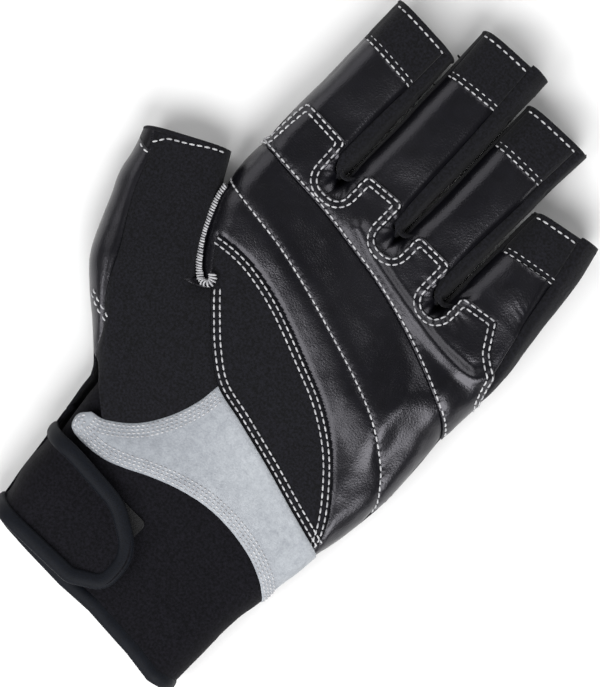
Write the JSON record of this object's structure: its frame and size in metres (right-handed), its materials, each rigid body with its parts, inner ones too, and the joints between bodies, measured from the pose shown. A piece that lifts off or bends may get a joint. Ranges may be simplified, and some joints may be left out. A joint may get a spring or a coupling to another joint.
{
  "type": "sailing glove",
  "caption": "Left-hand sailing glove with cut-off fingers and thumb, black leather palm, grey suede wrist patch and a hook-and-loop cuff tab, lying palm up.",
  "frame": {"origin": "on the back of the glove, on the surface it lies on, under the middle of the palm", "axes": "+Y from the cuff to the fingertips, +X from the thumb side to the little-finger side, +Z out of the palm"},
  "size_m": [0.1355, 0.2155, 0.0216],
  "materials": {
    "black_leather": "satin",
    "stretch_fabric": "matte",
    "neoprene": "matte",
    "grey_suede": "matte",
    "binding_tape": "satin",
    "hook_and_loop": "matte",
    "thread": "satin"
  },
  "bodies": {
    "hand": {"palm_upper_panel": "black_leather", "palm_middle_strip": "black_leather", "palm_heel_strip": "black_leather", "palm_stretch_insert": "stretch_fabric", "wrist_patch": "grey_suede", "thumb_base_panel": "stretch_fabric", "thumb_base_side_leather": "black_leather", "wrist_gore": "neoprene", "back_panel": "neoprene", "index_side_leather": "black_leather", "index_middle_crotch": "black_leather", "middle_ring_crotch": "black_leather", "ring_little_crotch": "black_leather", "little_side_leather": "black_leather", "palm_line_stitches": "thread", "insert_stitches": "thread", "heel_stitches": "thread", "tab_stitches": "thread", "patch_stitches": "thread"},
    "thumb": {"thumb_palm_panel": "stretch_fabric", "thumb_side_leather": "black_leather", "thumb_back": "neoprene", "thumb_stitches": "thread"},
    "cuff": {"cuff_palm_panel": "neoprene", "cuff_back_panel": "neoprene", "cuff_binding": "binding_tape", "loop_pad": "hook_and_loop"},
    "tab": {"closure_tab": "neoprene", "tab_binding": "binding_tape", "hook_pad": "hook_and_loop"},
    "index": {"index_palm_leather": "black_leather", "index_tip_band": "black_leather", "index_right_gusset": "stretch_fabric", "index_back": "neoprene", "index_stitches": "thread"},
    "middle": {"middle_palm_leather": "black_leather", "middle_tip_band": "black_leather", "middle_right_gusset": "stretch_fabric", "middle_back": "neoprene", "middle_stitches": "thread", "middle_left_gusset": "stretch_fabric"},
    "ring": {"ring_palm_leather": "black_leather", "ring_tip_band": "black_leather", "ring_right_gusset": "stretch_fabric", "ring_back": "neoprene", "ring_stitches": "thread", "ring_left_gusset": "stretch_fabric"},
    "little": {"little_palm_leather": "black_leather", "little_tip_band": "black_leather", "little_right_gusset": "stretch_fabric", "little_back": "neoprene", "little_stitches": "thread", "little_left_gusset": "stretch_fabric"}
  },
  "joints": [
    {"name": "index_flex", "type": "hinge", "parent": "hand", "child": "index", "pos_m": [-0.0402, 0.054, 0.018], "axis": [1, 0, 0], "range_deg": [0, 75]},
    {"name": "middle_flex", "type": "hinge", "parent": "hand", "child": "middle", "pos_m": [-0.0145, 0.053, 0.018], "axis": [1, 0, 0], "range_deg": [0, 75]},
    {"name": "ring_flex", "type": "hinge", "parent": "hand", "child": "ring", "pos_m": [0.0101, 0.05, 0.018], "axis": [1, 0, 0], "range_deg": [0, 75]},
    {"name": "little_flex", "type": "hinge", "parent": "hand", "child": "little", "pos_m": [0.0369, 0.048, 0.018], "axis": [1, 0, 0], "range_deg": [0, 75]},
    {"name": "thumb_flex", "type": "hinge", "parent": "hand", "child": "thumb", "pos_m": [-0.0365, -0.008, 0.018], "axis": [0.8829, 0.4695, 0], "range_deg": [0, 60]},
    {"name": "wrist_flex", "type": "hinge", "parent": "hand", "child": "cuff", "pos_m": [0.006, -0.066, 0.018], "axis": [-1, 0, 0], "range_deg": [0, 45]},
    {"name": "tab_fold", "type": "hinge", "parent": "cuff", "child": "tab", "pos_m": [-0.0364, -0.071, 0.009], "axis": [0.109, -0.994, 0], "range_deg": [0, 150]}
  ]
}
